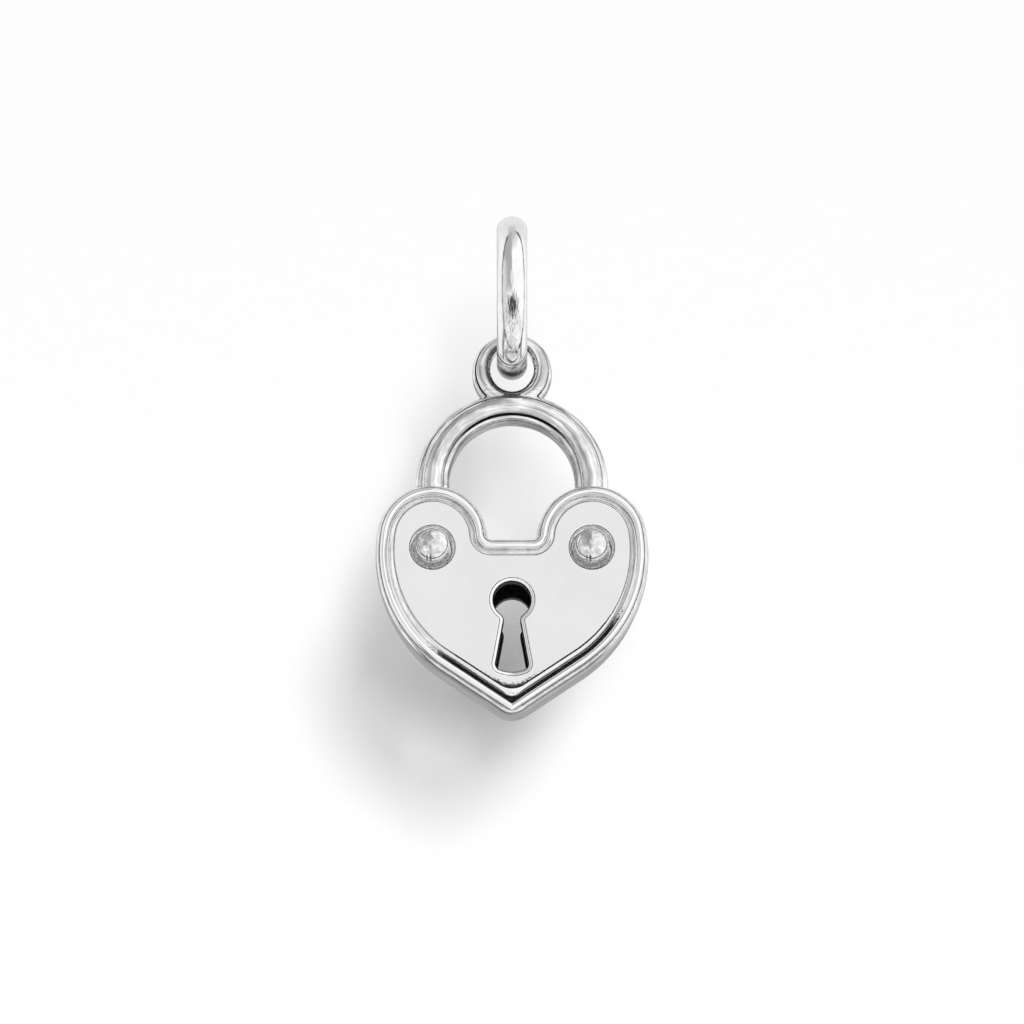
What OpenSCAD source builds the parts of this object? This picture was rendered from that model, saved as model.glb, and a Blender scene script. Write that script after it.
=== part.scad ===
// Heart padlock charm in polished silver, stored hanging from its jump ring.
// Millimetres, +Z up, front face towards -Y. The origin is the inner top of the
// jump ring, where a chain or bracelet link bears.

/* [Jump ring] */
// Diameter of the ring's round wire
ring_wire_d = 1.5; // [1.2:0.1:1.6]
// Outer diameter of the ring
ring_outer_d = 8; // [7.6:0.1:9]

/* [Heart] */
// Distance from the middle of the charm to the middle of each lobe and leg
lobe_x = 3.85; // [3.7:0.05:4]
// Radius of each lobe at the outer foot of the front bead
lobe_r = 2.47; // [2.35:0.01:2.6]
// Height from the top of the lobes to the point at the bottom
heart_h = 11.13; // [10.7:0.01:11.5]
// Radius of the long side curves
side_r = 6.73; // [6.4:0.01:7.2]
// Slope of the straight stretches that meet at the point
tip_slope = 34; // [32:0.5:36]
// Depth of the flat notch below the lobe centres
notch_drop = 0.21; // [0.1:0.01:0.3]
// Radius of the notch's inner corners
notch_corner_r = 0.39; // [0.34:0.01:0.5]
// Depth of the heart over both beads
heart_d = 4.2; // [4:0.05:4.4]

/* [Case wall] */
// Width of the bead round each face
bead_w = 0.34; // [0.3:0.01:0.4]
// How far the side wall bulges past the beads
wall_bulge = 0.24; // [0.15:0.01:0.28]
// How much smaller the back is than the front, all round
back_inset = 0.25; // [0.2:0.01:0.3]
// Width of the ledge that each face plate rests on
ledge_w = 0.35; // [0.25:0.01:0.4]

/* [Face plates] */
// Distance between the outer faces of the two plates
face_span = 3.77; // [3.6:0.01:3.85]
// Thickness of each plate
plate_t = 0.55; // [0.5:0.01:0.55]
// Width of the bevel round each raised face
face_bevel = 0.22; // [0.15:0.01:0.25]
// Radius of the keyhole's round head
key_head_r = 0.9; // [0.8:0.01:1]
// Height of the middle of the keyhole's head above the heart's point
key_rise = 5.57; // [5.45:0.01:5.65]
// Height of the keyhole from the middle of its head to its foot
key_drop = 3.58; // [3.3:0.01:3.8]
// Width of the bevel round the keyhole
key_bevel = 0.17; // [0.1:0.01:0.2]

/* [Rivets] */
// Diameter of the ball heads
ball_d = 1.66; // [1.4:0.02:1.7]
// Diameter of the shank
shank_d = 0.9; // [0.7:0.02:1]
// Diameter of the sunken cup round each head
cup_d = 2.18; // [2.1:0.01:2.3]

/* [Shackle] */
// Width of the shackle at its legs
shackle_w = 1.645; // [1.5:0.005:1.7]
// Depth of the shackle from front to back
shackle_d = 2.3; // [2:0.05:2.4]
// Width of the shackle at its crown
crown_w = 1.4; // [1.3:0.01:1.6]
// Height of the shackle's crown above the lobes
shackle_rise = 5.1; // [5:0.05:5.5]
// Outer diameter of the eye on top
eye_outer_d = 3.87; // [3.7:0.01:4]
// Width of the eye's hole
eye_hole_d = 2.1; // [2:0.01:2.2]
// Height of the eye's hole
eye_hole_h = 2.33; // [2.2:0.01:2.4]
// Depth of the eye from front to back
eye_d = 1.44; // [1.3:0.02:1.5]

/* [Hidden] */
fine = 48;

// Free space between pieces that are fitted together
gap = 0.03;
// Free space between the ring's wire and the eye that hangs on it
hang_gap = 0.07;

// How far a cutter reaches past what it cuts
past = 1;

// Heights of the pieces, all below the origin
eye_thickening = 0.23;
crown_drop = 1.08;
rivet_drop = 0.49;
leg_past_rivet = 0.85;
wire_r = ring_wire_d / 2;
ring_mean_r = ring_outer_d / 2 - wire_r;
ring_z = wire_r - ring_mean_r;
swing_z = ring_z - ring_mean_r;
eye_hole_r = eye_hole_d / 2;
eye_outer_r = eye_outer_d / 2;
hole_z = swing_z + wire_r + hang_gap - eye_hole_h / 2;
eye_z = hole_z - eye_thickening;
crown_z = eye_z - crown_drop;
lobe_top_z = crown_z - shackle_rise;
lobe_z = lobe_top_z - lobe_r;
notch_z = lobe_z - notch_drop;
tip_z = lobe_top_z - heart_h;
rivet_z = lobe_z - rivet_drop;
key_z = tip_z + key_rise;

// Depths from the middle of the charm
face_y = face_span / 2;
crest_y = heart_d / 2;
bead_sink = 0.045;
foot_y = face_y - bead_sink;
ledge_y = face_y - plate_t - gap;

// Points along an arc of the XZ plane; skip = 1 leaves out its first point
function arc(x, z, r, from, to, steps, skip = 1) =
    [for (i = [skip:steps]) let (a = from + (to - from) * i / steps) [x + r * cos(a), z + r * sin(a)]];

function turned(list) = [for (i = [len(list) - 1:-1:0]) list[i]];

// A right half and its mirror image, as one closed outline
function both_sides(half) = concat(
    half,
    [for (i = [len(half) - 2:-1:1]) [-half[i][0], half[i][1]]]
);

// Centre of each notch corner: tangent to the flat and to the lobe
corner_z = notch_z + notch_corner_r;
corner_x = lobe_x - sqrt(pow(lobe_r + notch_corner_r, 2) - pow(corner_z - lobe_z, 2));
corner_angle = atan2(lobe_z - corner_z, lobe_x - corner_x);

// Middle of the right side's long curve, inside the lobe's curve and tangent to the straight
// stretch, for a point at a given height
function side_mid(point_z) =
    let (
        a = tan(tip_slope),
        b = side_r / cos(tip_slope) + point_z - lobe_z,
        p = 1 + a * a,
        q = 2 * a * b - 2 * lobe_x,
        s = lobe_x * lobe_x + b * b - pow(side_r - lobe_r, 2),
        x = (-q - sqrt(q * q - 4 * p * s)) / (2 * p)
    )
    [x, lobe_z + a * x + b];

// Outline of the heart, moved outwards by grow, with its point rounded to tip_r and lifted
function heart(grow, tip_r, lift = 0) =
    let (
        point_z = tip_z + lift,
        side = side_mid(point_z),
        side_from = atan2(lobe_z - side[1], lobe_x - side[0]),
        side_to = tip_slope - 90
    )
    both_sides(concat(
        [[0, notch_z + grow], [corner_x, notch_z + grow]],
        arc(corner_x, corner_z, notch_corner_r - grow, -90, corner_angle, 3),
        arc(lobe_x, lobe_z, lobe_r + grow, corner_angle + 180, side_from, 16),
        arc(side[0], side[1], side_r + grow, side_from, side_to, 7),
        arc(0, point_z - (grow - tip_r) / cos(tip_slope), tip_r, side_to, -90, 3, 0)
    ));

// Section of the case from its front ledge round the front bead, the wall and the back bead
// to the back ledge. The wall bulges just behind the front and tapers to the smaller back.
// Columns: depth from the middle, distance past the front bead's outer foot, radius of the point
wall_tip_r = 1.2;
front_tip_r = 0.12;
back_tip_r = 1;
function bead(inset, tip_r, side) = [for (a = [0:22.5:180])
    [side * (foot_y + (crest_y - foot_y) * sin(a)), -inset - bead_w / 2 * (1 - cos(a)), tip_r]];
function wall(part) =
    [part * foot_y, wall_bulge * sqrt(1 - pow(part, 4)) * (1 - part / 4) - back_inset * (1 + part) / 2, wall_tip_r];
case_section = concat(
    [[-ledge_y, -bead_w - ledge_w, front_tip_r], [-ledge_y, -bead_w, front_tip_r]],
    turned(bead(0, front_tip_r, -1)),
    [for (part = [-0.95, -0.8, -0.55, -0.2, 0.2, 0.55, 0.8, 0.95]) wall(part)],
    bead(back_inset, back_tip_r, 1),
    [[ledge_y, -back_inset - bead_w, back_tip_r], [ledge_y, -back_inset - bead_w - ledge_w, back_tip_r]]
);

// Section of the shackle's metal: a bead on a wider body, in front and at the back.
// Columns: across and depth, as fractions of the half width and the half depth
bead_part = 0.62;
body_part = 0.7;
quarter = concat(
    [[1, 0], [1, 0.4], [0.95, 0.56], [0.8, 0.66], [bead_part + 0.03, body_part]],
    [for (a = [0:22.5:90]) [bead_part * cos(a), body_part + (1 - body_part) * sin(a)]]
);
right_part = concat(turned([for (p = quarter) [p[0], -p[1]]]), [for (i = [1:len(quarter) - 1]) quarter[i]]);
metal = both_sides(right_part);

// The shackle's curves: the crown is thinner than the legs, so the inner one stands higher
outer_r = lobe_x + shackle_w / 2;
inner_r = lobe_x - shackle_w / 2;
outer_z = crown_z - outer_r;
inner_z = crown_z - crown_w - inner_r;
leg_end_z = rivet_z - leg_past_rivet;
bore_r = shank_d / 2 + gap;

// Keyhole: the flared sides run down from the waist at a slope, and arcs join what they meet
key_waist = [0.445, -1.33];
key_flare = 10.4;
key_waist_r = 0.4;
key_foot_r = 0.3;
key_arch_r = 1.6;
flare_out = [cos(key_flare), sin(key_flare)];
flare_down = [sin(key_flare), -cos(key_flare)];
arch_mid = [0, key_arch_r - key_drop];
function slide(start, reach) =
    start + flare_down * (-start * flare_down + sqrt(pow(start * flare_down, 2) - start * start + reach * reach));
waist_mid = slide(key_waist + key_waist_r * flare_out, key_head_r + key_waist_r);
foot_mid = arch_mid + slide(key_waist - key_foot_r * flare_out - arch_mid, key_arch_r - key_foot_r);
waist_angle = atan2(waist_mid[1], waist_mid[0]);
foot_angle = atan2(foot_mid[1] - arch_mid[1], foot_mid[0]);
function keyhole(grow) = [for (p = both_sides(concat(
    arc(0, 0, key_head_r + grow, 90, waist_angle, 9, 0),
    arc(waist_mid[0], waist_mid[1], key_waist_r - grow, waist_angle + 180, key_flare + 180, 4),
    arc(foot_mid[0], foot_mid[1], key_foot_r + grow, key_flare, foot_angle, 4, 0),
    arc(0, arch_mid[1], key_arch_r + grow, foot_angle, -90, 2)
))) [p[0], p[1] + key_z]];

// Solid through rings of points: joined end to end, or closed by a fan round each end's middle
module skin(rings, middles = []) {
    n = len(rings[0]);
    m = len(rings);
    open = len(middles) == 2;
    sides = [for (j = [0:(open ? m - 2 : m - 1)], i = [0:n - 1])
        let (a = j * n + i, b = j * n + (i + 1) % n, c = (j + 1) % m * n + (i + 1) % n, d = (j + 1) % m * n + i)
        each [[a, c, b], [a, d, c]]];
    ends = [for (i = [0:n - 1])
        let (h = (i + 1) % n)
        each [[m * n, i, h], [m * n + 1, (m - 1) * n + h, (m - 1) * n + i]]];
    polyhedron(
        points = concat([for (ring = rings) each ring], middles),
        faces = open ? concat(sides, ends) : sides
    );
}

// An outline of the XZ plane at a depth
function at_depth(outline, y) = [for (p = outline) [p[0], y, p[1]]];

// A shape drawn in the XZ plane, as a plate between two depths
module slab(from_y, to_y) {
    translate([0, to_y, 0]) rotate([90, 0, 0]) linear_extrude(height = to_y - from_y) children();
}

// A round bar along Y between two depths, or a cone where its radii differ
module bar(x, z, from_y, to_y, from_r, to_r) {
    translate([x, from_y, z]) rotate([-90, 0, 0])
        cylinder(h = to_y - from_y, r1 = from_r, r2 = to_r, $fn = fine);
}

module jump_ring() {
    color("silver")
        translate([0, 0, ring_z]) rotate([0, 90, 0])
            rotate_extrude($fn = 96) translate([ring_mean_r, 0]) circle(r = wire_r, $fn = fine);
}

// The metal's section, laid between an inner and an outer point of the XZ plane
function metal_ring(inner, outer, depth = shackle_d) =
    let (mid = (inner + outer) / 2, half = (outer - inner) / 2)
    [for (p = metal) [mid[0] + half[0] * p[0], depth / 2 * p[1], mid[1] + half[1] * p[0]]];

module shackle_bow() {
    arch = [for (a = [0:7.5:180])
        metal_ring([inner_r * cos(a), inner_z + inner_r * sin(a)], [outer_r * cos(a), outer_z + outer_r * sin(a)])];
    right_end = metal_ring([inner_r, leg_end_z], [outer_r, leg_end_z]);
    left_end = metal_ring([-inner_r, leg_end_z], [-outer_r, leg_end_z]);
    skin(concat([right_end], arch, [left_end]), [[lobe_x, 0, leg_end_z], [-lobe_x, 0, leg_end_z]]);
}

module eye() {
    skin([for (a = [0:12:348])
        metal_ring(
            [eye_hole_r * cos(a), hole_z + eye_hole_h / 2 * sin(a)],
            [eye_outer_r * cos(a), eye_z + eye_outer_r * sin(a)],
            eye_d
        )]);
}

// The bow with the eye soldered on top, its legs drilled for the rivets
module shackle() {
    color("silver") difference() {
        union() {
            shackle_bow();
            eye();
        }
        for (side = [-1, 1])
            bar(side * lobe_x, rivet_z, -shackle_d, shackle_d, bore_r, bore_r);
    }
}

// The wall with both beads, open inside, with a socket through each lobe for a leg
module case() {
    color("silver") difference() {
        skin([for (row = case_section) at_depth(heart(row[1], row[2]), row[0])]);
        for (side = [-1, 1])
            translate([side * lobe_x, 0, lobe_z]) linear_extrude(height = lobe_r + past)
                polygon([for (p = metal) [p[0] * (shackle_w / 2 + gap), p[1] * (shackle_d / 2 + gap)]]);
    }
}

// A heart-shaped plate that rests on the ledge. Its raised face has a bevelled edge, a bevelled
// keyhole, and a cup and a bore for each rivet. The groove round the face widens at the point
cup_t = 0.28;
cup_r = cup_d / 2;
cup_slope = 0.14;
flange_y = face_y - 0.3;
face_lift = 0.17;
face_tip_r = 0.7;
bevel_y = 0.18;
module plate(inset, tip_r) {
    edge = -inset - bead_w - gap;
    face_edge = edge - gap;
    middle_z = key_z + key_waist[1];
    difference() {
        union() {
            slab(-flange_y, plate_t - face_y) polygon(heart(edge, tip_r));
            slab(-face_y, gap - flange_y) polygon(heart(face_edge, face_tip_r, face_lift));
        }
        // Columns: steps of the bevel's width outwards, steps of its height inwards
        skin([for (row = [[-1.5, -0.5], [0.5, -0.5], [0.5, 1.5]]) at_depth(
            heart(face_edge + face_bevel * row[0], face_tip_r, face_lift),
            bevel_y * row[1] - face_y
        )]);
        skin(
            [
                at_depth(keyhole(2 * key_bevel), -face_y - key_bevel),
                at_depth(keyhole(0), key_bevel - face_y),
                at_depth(keyhole(0), 0)
            ],
            [[0, -face_y - key_bevel, middle_z], [0, 0, middle_z]]
        );
        for (side = [-1, 1]) {
            bar(side * lobe_x, rivet_z, -face_y - cup_t, cup_t - face_y, cup_r + cup_slope, cup_r - cup_slope);
            bar(side * lobe_x, rivet_z, -face_y, 0, bore_r, bore_r);
        }
    }
}

module front_plate() {
    color("whitesmoke") plate(0, front_tip_r);
}

module back_plate() {
    color("whitesmoke") mirror([0, 1, 0]) plate(back_inset, back_tip_r);
}

// A pin through both plates and one leg, with a ball head in each cup
ball_rise = 0.3;
module rivet(x) {
    seat_y = face_y - cup_t + gap;
    color("silver") union() {
        bar(x, rivet_z, -seat_y, seat_y, shank_d / 2, shank_d / 2);
        for (side = [-1, 1])
            intersection() {
                translate([x, side * (face_y + ball_rise), rivet_z]) sphere(d = ball_d, $fn = fine);
                bar(x, rivet_z, side > 0 ? seat_y : -face_y - ball_d, side > 0 ? face_y + ball_d : -seat_y, ball_d, ball_d);
            }
    }
}

module rivet_left() {
    rivet(-lobe_x);
}

module rivet_right() {
    rivet(lobe_x);
}

jump_ring();
shackle();
case();
front_plate();
back_plate();
rivet_left();
rivet_right();
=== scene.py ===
import math

import bmesh
import bpy
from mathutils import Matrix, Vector


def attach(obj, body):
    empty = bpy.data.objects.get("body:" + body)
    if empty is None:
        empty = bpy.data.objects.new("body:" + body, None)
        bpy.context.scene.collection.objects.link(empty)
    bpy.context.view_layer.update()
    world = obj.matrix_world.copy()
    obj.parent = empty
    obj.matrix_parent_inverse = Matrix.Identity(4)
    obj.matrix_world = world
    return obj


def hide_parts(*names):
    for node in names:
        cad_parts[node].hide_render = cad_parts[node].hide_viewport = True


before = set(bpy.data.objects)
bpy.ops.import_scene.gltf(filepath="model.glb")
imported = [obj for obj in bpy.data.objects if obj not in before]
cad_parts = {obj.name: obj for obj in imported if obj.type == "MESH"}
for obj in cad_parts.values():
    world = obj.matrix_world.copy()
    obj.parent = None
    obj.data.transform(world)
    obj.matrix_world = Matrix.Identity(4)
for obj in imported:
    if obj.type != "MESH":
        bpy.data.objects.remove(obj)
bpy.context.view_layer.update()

# Heart padlock charm in polished silver, hanging from its jump ring.
# Sizes are in millimetres, as on a silversmith's bench, and mm turns them into metres.
mm = 0.001
weld = 0.0002 * mm  # points nearer than this are one point
scene = bpy.context.scene
scene.view_settings.view_transform = "Standard"

# Places that several pieces share: x to the right, y to the back, z up
charm = {
    "lobeTopZ": -12.505,
    "tipZ": -23.63,
    "faceY": 1.885,  # outer face of each plate
    "footY": 1.84,  # foot of each bead
    "crestY": 2.1,  # crest of each bead
    "ledgeY": 1.305,  # ledge that each plate rests on
    "beadW": 0.34,
    "gap": 0.03,
    "backInset": 0.25,  # the back is this much smaller all round
    "rivetX": 3.85,
    "rivetZ": -15.465,
}


def hexColour(code):
    # sRGB hex to the linear colour that the shaders use
    parts = [int(code[i : i + 2], 16) / 255 for i in (1, 3, 5)]
    return [c / 12.92 if c <= 0.04045 else ((c + 0.055) / 1.055) ** 2.4 for c in parts] + [1]


def pick(*items):
    # leaves only these objects selected, the first one active
    if bpy.context.object and bpy.context.object.mode != "OBJECT":
        bpy.ops.object.mode_set(mode="OBJECT")
    bpy.ops.object.select_all(action="DESELECT")
    for item in items:
        item.select_set(True)
    if items:
        bpy.context.view_layer.objects.active = items[0]


def softStep(low, high, value):
    part = min(1, max(0, (value - low) / (high - low)))
    return part * part * (3 - 2 * part)


def arc(x, z, r, start, end, steps, skip=1):
    # points along an arc, angles in degrees; skip=1 leaves out the first
    turns = [math.radians(start + (end - start) * i / steps) for i in range(skip, steps + 1)]
    return [(x + r * math.cos(a), z + r * math.sin(a)) for a in turns]


def straight(start, end, steps):
    # points between two others, without either
    return [tuple(a + (b - a) * i / steps for a, b in zip(start, end)) for i in range(1, steps)]


def bothSides(half):
    # a right half and its mirror image, as one closed outline
    return half + [(-x, z) for x, z in reversed(half[1:-1])]


# Outline of the heart, from its own arcs

heart = {
    "lobeX": 3.85,  # middle of the right lobe
    "lobeR": 2.47,
    "sideR": 6.73,
    "slope": 34,  # degrees, of the straight stretches that meet at the point
    "notchDrop": 0.21,
    "cornerR": 0.39,
}


def heartOutline(grow, tipR, lift=0):
    # the outline moved outwards by grow, its point rounded to tipR and lifted
    lobeX, lobeR, sideR = heart["lobeX"], heart["lobeR"], heart["sideR"]
    lobeZ = charm["lobeTopZ"] - lobeR
    notchZ = lobeZ - heart["notchDrop"]
    cornerZ = notchZ + heart["cornerR"]
    cornerX = lobeX - math.sqrt((lobeR + heart["cornerR"]) ** 2 - (cornerZ - lobeZ) ** 2)
    cornerTurn = math.degrees(math.atan2(lobeZ - cornerZ, lobeX - cornerX))
    pointZ = charm["tipZ"] + lift
    slope = math.radians(heart["slope"])
    # middle of the long side curve: inside the lobe's curve, tangent to the straight stretch
    rise = sideR / math.cos(slope) + pointZ - lobeZ
    p = 1 + math.tan(slope) ** 2
    q = 2 * math.tan(slope) * rise - 2 * lobeX
    s = lobeX**2 + rise**2 - (sideR - lobeR) ** 2
    sideX = (-q - math.sqrt(q * q - 4 * p * s)) / (2 * p)
    sideZ = lobeZ + math.tan(slope) * sideX + rise
    sideFrom = math.degrees(math.atan2(lobeZ - sideZ, lobeX - sideX))
    sideTo = heart["slope"] - 90
    half = [(0, notchZ + grow)]
    half += straight(half[0], (cornerX, notchZ + grow), 8) + [(cornerX, notchZ + grow)]
    half += arc(cornerX, cornerZ, heart["cornerR"] - grow, -90, cornerTurn, 10)
    half += arc(lobeX, lobeZ, lobeR + grow, cornerTurn + 180, sideFrom, 56)
    half += arc(sideX, sideZ, sideR + grow, sideFrom, sideTo, 28)
    tip = arc(0, pointZ - (grow - tipR) / math.cos(slope), tipR, sideTo, -90, 9, 0)
    half += straight(half[-1], tip[0], 16) + tip
    return bothSides(half)


# Where the grooves turn dark on the way down to the tip, sooner on the right: patina and painted
# shade
tipDarkening = {"startZ": -20, "lean": 0.2, "reach": 0.9}

# Modelling: a circle is added, its points are set on the first outline, and the loop is
# extruded from outline to outline. Each row carries grime and painted shade, from 0 clean to 1
# or more for black, and below 0 where wear polishes the streaks away: one number, a list with
# one for each point, or a pair for the upper part and the tip


def atDepth(outline, y):
    return [(x, y, z) for x, z in outline]


def tipward(x, z, upper, lower):
    way = z - (tipDarkening["startZ"] + tipDarkening["lean"] * x)
    return upper + (lower - upper) * softStep(tipDarkening["reach"], -tipDarkening["reach"], way)


def loft(name, rows, joined=False, capped=False):
    pick()
    count = len(rows[0][0])
    bpy.ops.mesh.primitive_circle_add(vertices=count, radius=mm)
    piece = bpy.context.object
    piece.name = piece.data.name = name
    bpy.ops.object.mode_set(mode="EDIT")
    shape = bmesh.from_edit_mesh(piece.data)
    shape.verts.layers.float.new("grimeAndShade")
    loop = list(shape.verts)
    for number, (places, grimeAndShade) in enumerate(rows):
        if number:
            order = {tuple(v.co): i for i, v in enumerate(loop)}
            bpy.ops.mesh.extrude_edges_move()
            shape = bmesh.from_edit_mesh(piece.data)
            loop = sorted((v for v in shape.verts if v.select), key=lambda v: order[tuple(v.co)])
        layer = shape.verts.layers.float["grimeAndShade"]
        if isinstance(grimeAndShade, tuple):
            dirtAndShade = [tipward(x, z, *grimeAndShade) for x, y, z in places]
        else:
            dirtAndShade = grimeAndShade if isinstance(grimeAndShade, list) else [grimeAndShade] * count
        for vert, place, value in zip(loop, places, dirtAndShade):
            vert.co = Vector(place) * mm
            vert[layer] = value
    bmesh.update_edit_mesh(piece.data)
    if capped:
        bpy.ops.mesh.edge_face_add()
        bpy.ops.mesh.select_all(action="DESELECT")
        bpy.ops.mesh.select_non_manifold(extend=False)
        bpy.ops.mesh.edge_face_add()
    if joined:
        bpy.ops.mesh.select_all(action="SELECT")
        bpy.ops.mesh.remove_doubles(threshold=weld)
    bpy.ops.object.mode_set(mode="OBJECT")
    return piece


def closeUp(piece, crease=38):
    # welds the doubles, turns every face outwards and smooths all but the creases
    pick(piece)
    bpy.ops.object.mode_set(mode="EDIT")
    bpy.ops.mesh.select_all(action="SELECT")
    bpy.ops.mesh.remove_doubles(threshold=weld)
    bpy.ops.mesh.normals_make_consistent(inside=False)
    bpy.ops.object.mode_set(mode="OBJECT")
    bpy.ops.object.shade_smooth_by_angle(angle=math.radians(crease))
    return piece


def fuse(piece, other, operation):
    # an exact boolean, applied; the other piece is used up
    pick(piece)
    bpy.ops.object.modifier_add(type="BOOLEAN")
    cut = piece.modifiers[-1]
    cut.operation = operation
    cut.solver = "EXACT"
    cut.object = other
    bpy.ops.object.modifier_apply(modifier=cut.name)
    pick(other)
    bpy.ops.object.delete()
    return piece


def handWork(piece, grain, depth, group=""):
    # the slight unevenness that files and polishing leave: a displacement, applied
    texture = bpy.data.textures.new(piece.name + "Unevenness", "CLOUDS")
    texture.noise_scale = grain * mm
    texture.noise_depth = 2
    pick(piece)
    bpy.ops.object.modifier_add(type="DISPLACE")
    swell = piece.modifiers[-1]
    swell.texture = texture
    swell.texture_coords = "LOCAL"
    swell.strength = depth * mm
    swell.mid_level = 1
    swell.vertex_group = group
    bpy.ops.object.modifier_apply(modifier=swell.name)
    return piece


# Jump ring

jumpRing = {
    "wireD": 1.5,
    "outerD": 8,
    "middleZ": -2.5,
    "facetInset": 0.006,
    "grain": 1.6,  # size of the uneven places left by hand work
    "unevenness": 0.012,  # and their depth
    # marks in the polish and painted shade: degrees round the ring from its front, reach in
    # degrees, width, darkness
    "seam": (-20, 12, 0.37, 0.73),  # where it was soldered
    "eyeShade": (-84, 8, 1.1, 0.85),  # painted shade where it hangs inside the eye
    "worn": (-34, 21, 0.46, 0.38),  # speckled stretch round the seam, with a painted grey reflection below it
}


def makeJumpRing():
    wireR = jumpRing["wireD"] / 2
    midR = jumpRing["outerD"] / 2 - wireR
    pick()
    bpy.ops.mesh.primitive_torus_add(
        major_radius=(midR - jumpRing["facetInset"]) * mm,
        minor_radius=(wireR - jumpRing["facetInset"]) * mm,
        major_segments=224,
        minor_segments=72,
        location=(0, 0, jumpRing["middleZ"] * mm),
        rotation=(0, math.pi / 2, 0),
    )
    piece = bpy.context.object
    piece.name = piece.data.name = "jumpRing"
    bpy.ops.object.transform_apply(location=True, rotation=True, scale=True)
    grimeAndShade = piece.data.attributes.new("grimeAndShade", "FLOAT", "POINT").data
    for vert, spot in zip(piece.data.vertices, grimeAndShade):
        x, y, z = vert.co / mm
        turn = math.degrees(math.atan2(z - jumpRing["middleZ"], -y))
        marks = []
        for place, reach, width, dirtAndShade in (jumpRing["seam"], jumpRing["eyeShade"], jumpRing["worn"]):
            marks.append(dirtAndShade * math.exp(-(((turn - place) / reach) ** 2) - (x / width) ** 2))
        spot.value = max(marks)
    return closeUp(handWork(piece, jumpRing["grain"], jumpRing["unevenness"]))


# Shackle: the bow with both legs, and the eye soldered on top

shackle = {
    "legX": 3.85,
    "legW": 1.645,
    "depth": 2.3,
    "crownZ": -7.405,
    "crownW": 1.4,
    "legEndZ": -16.315,
    "eyeOuterR": 1.935,
    "eyeZ": -6.325,
    "holeR": 1.05,
    "holeH": 2.33,
    "holeZ": -6.095,
    "eyeDepth": 1.44,
    "beadPart": 0.62,  # the bead's width and the body's depth, as parts of the whole
    "bodyPart": 0.7,
    "lineAt": 0.47,  # painted dark reflection line along the inner corner
    "outerGrooveDark": 0.65,  # patina and painted shade in the groove on the outer side
    "innerGrooveDark": 0.75,
    "crownMore": 0.25,  # painted shade: this much darker at the crown
    "eyeGrooveDark": 0.6,
    "grooveReach": 0.03,
    "crownReach": 0.06,  # painted shade: this much wider at the crown
    # how dark the painted reflection line along the inner corner is
    "cornerReflectionLine": 0.7,
    "grain": 0.9,
    "unevenness": 0.03,
    "crease": 44,  # degrees
}


def metalOutline():
    # section of the metal, across and depth as fractions of the half sizes: a rounded body,
    # a fine groove, and a bead in front and behind
    bead, body = shackle["beadPart"], shackle["bodyPart"]
    corner = [(1, 0), (1, 0.12), (1, 0.24), (1, 0.36)]
    corner += arc(0.86, 0.42, 0.14, 0, 58, 5)
    corner += [(0.88, 0.585), (0.82, 0.62), (0.75, 0.655), (bead + 0.05, body - 0.01)]
    corner += [(bead + 0.035, body - 0.045), (bead + 0.01, body - 0.05)]
    rise = [math.radians(a) for a in range(0, 91, 9)]
    corner += [(bead * math.cos(a), body + (1 - body) * math.sin(a)) for a in rise]
    right = [(x, -y) for x, y in reversed(corner)] + corner[1:]
    return bothSides(right)


def metalRow(inner, outer, depth, section):
    # the section laid between an inner and an outer point of the front view
    midX, midZ = (inner[0] + outer[0]) / 2, (inner[1] + outer[1]) / 2
    halfX, halfZ = (outer[0] - inner[0]) / 2, (outer[1] - inner[1]) / 2
    return [(midX + halfX * u, depth / 2 * v, midZ + halfZ * u) for u, v in section]


def grooveDarkness(section, inside, reach, corner):
    # patina and painted shade in the groove at each bead's foot; a painted reflection line along
    # the inner corner
    bead, body = shackle["beadPart"], shackle["bodyPart"]
    values = []
    for u, v in section:
        away = math.hypot(abs(u) - bead + 0.005, abs(v) - body - 0.025)
        near = 1 - softStep(reach, reach + 0.06, away)
        value = near * (inside if u < 0 else shackle["outerGrooveDark"])
        if u < 0:
            # painted reflection line along the inner corner
            line = 1 - softStep(0.02, 0.06, abs(abs(v) - shackle["lineAt"]))
            value = max(value, corner * line)
        values.append(value)
    return values


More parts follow.
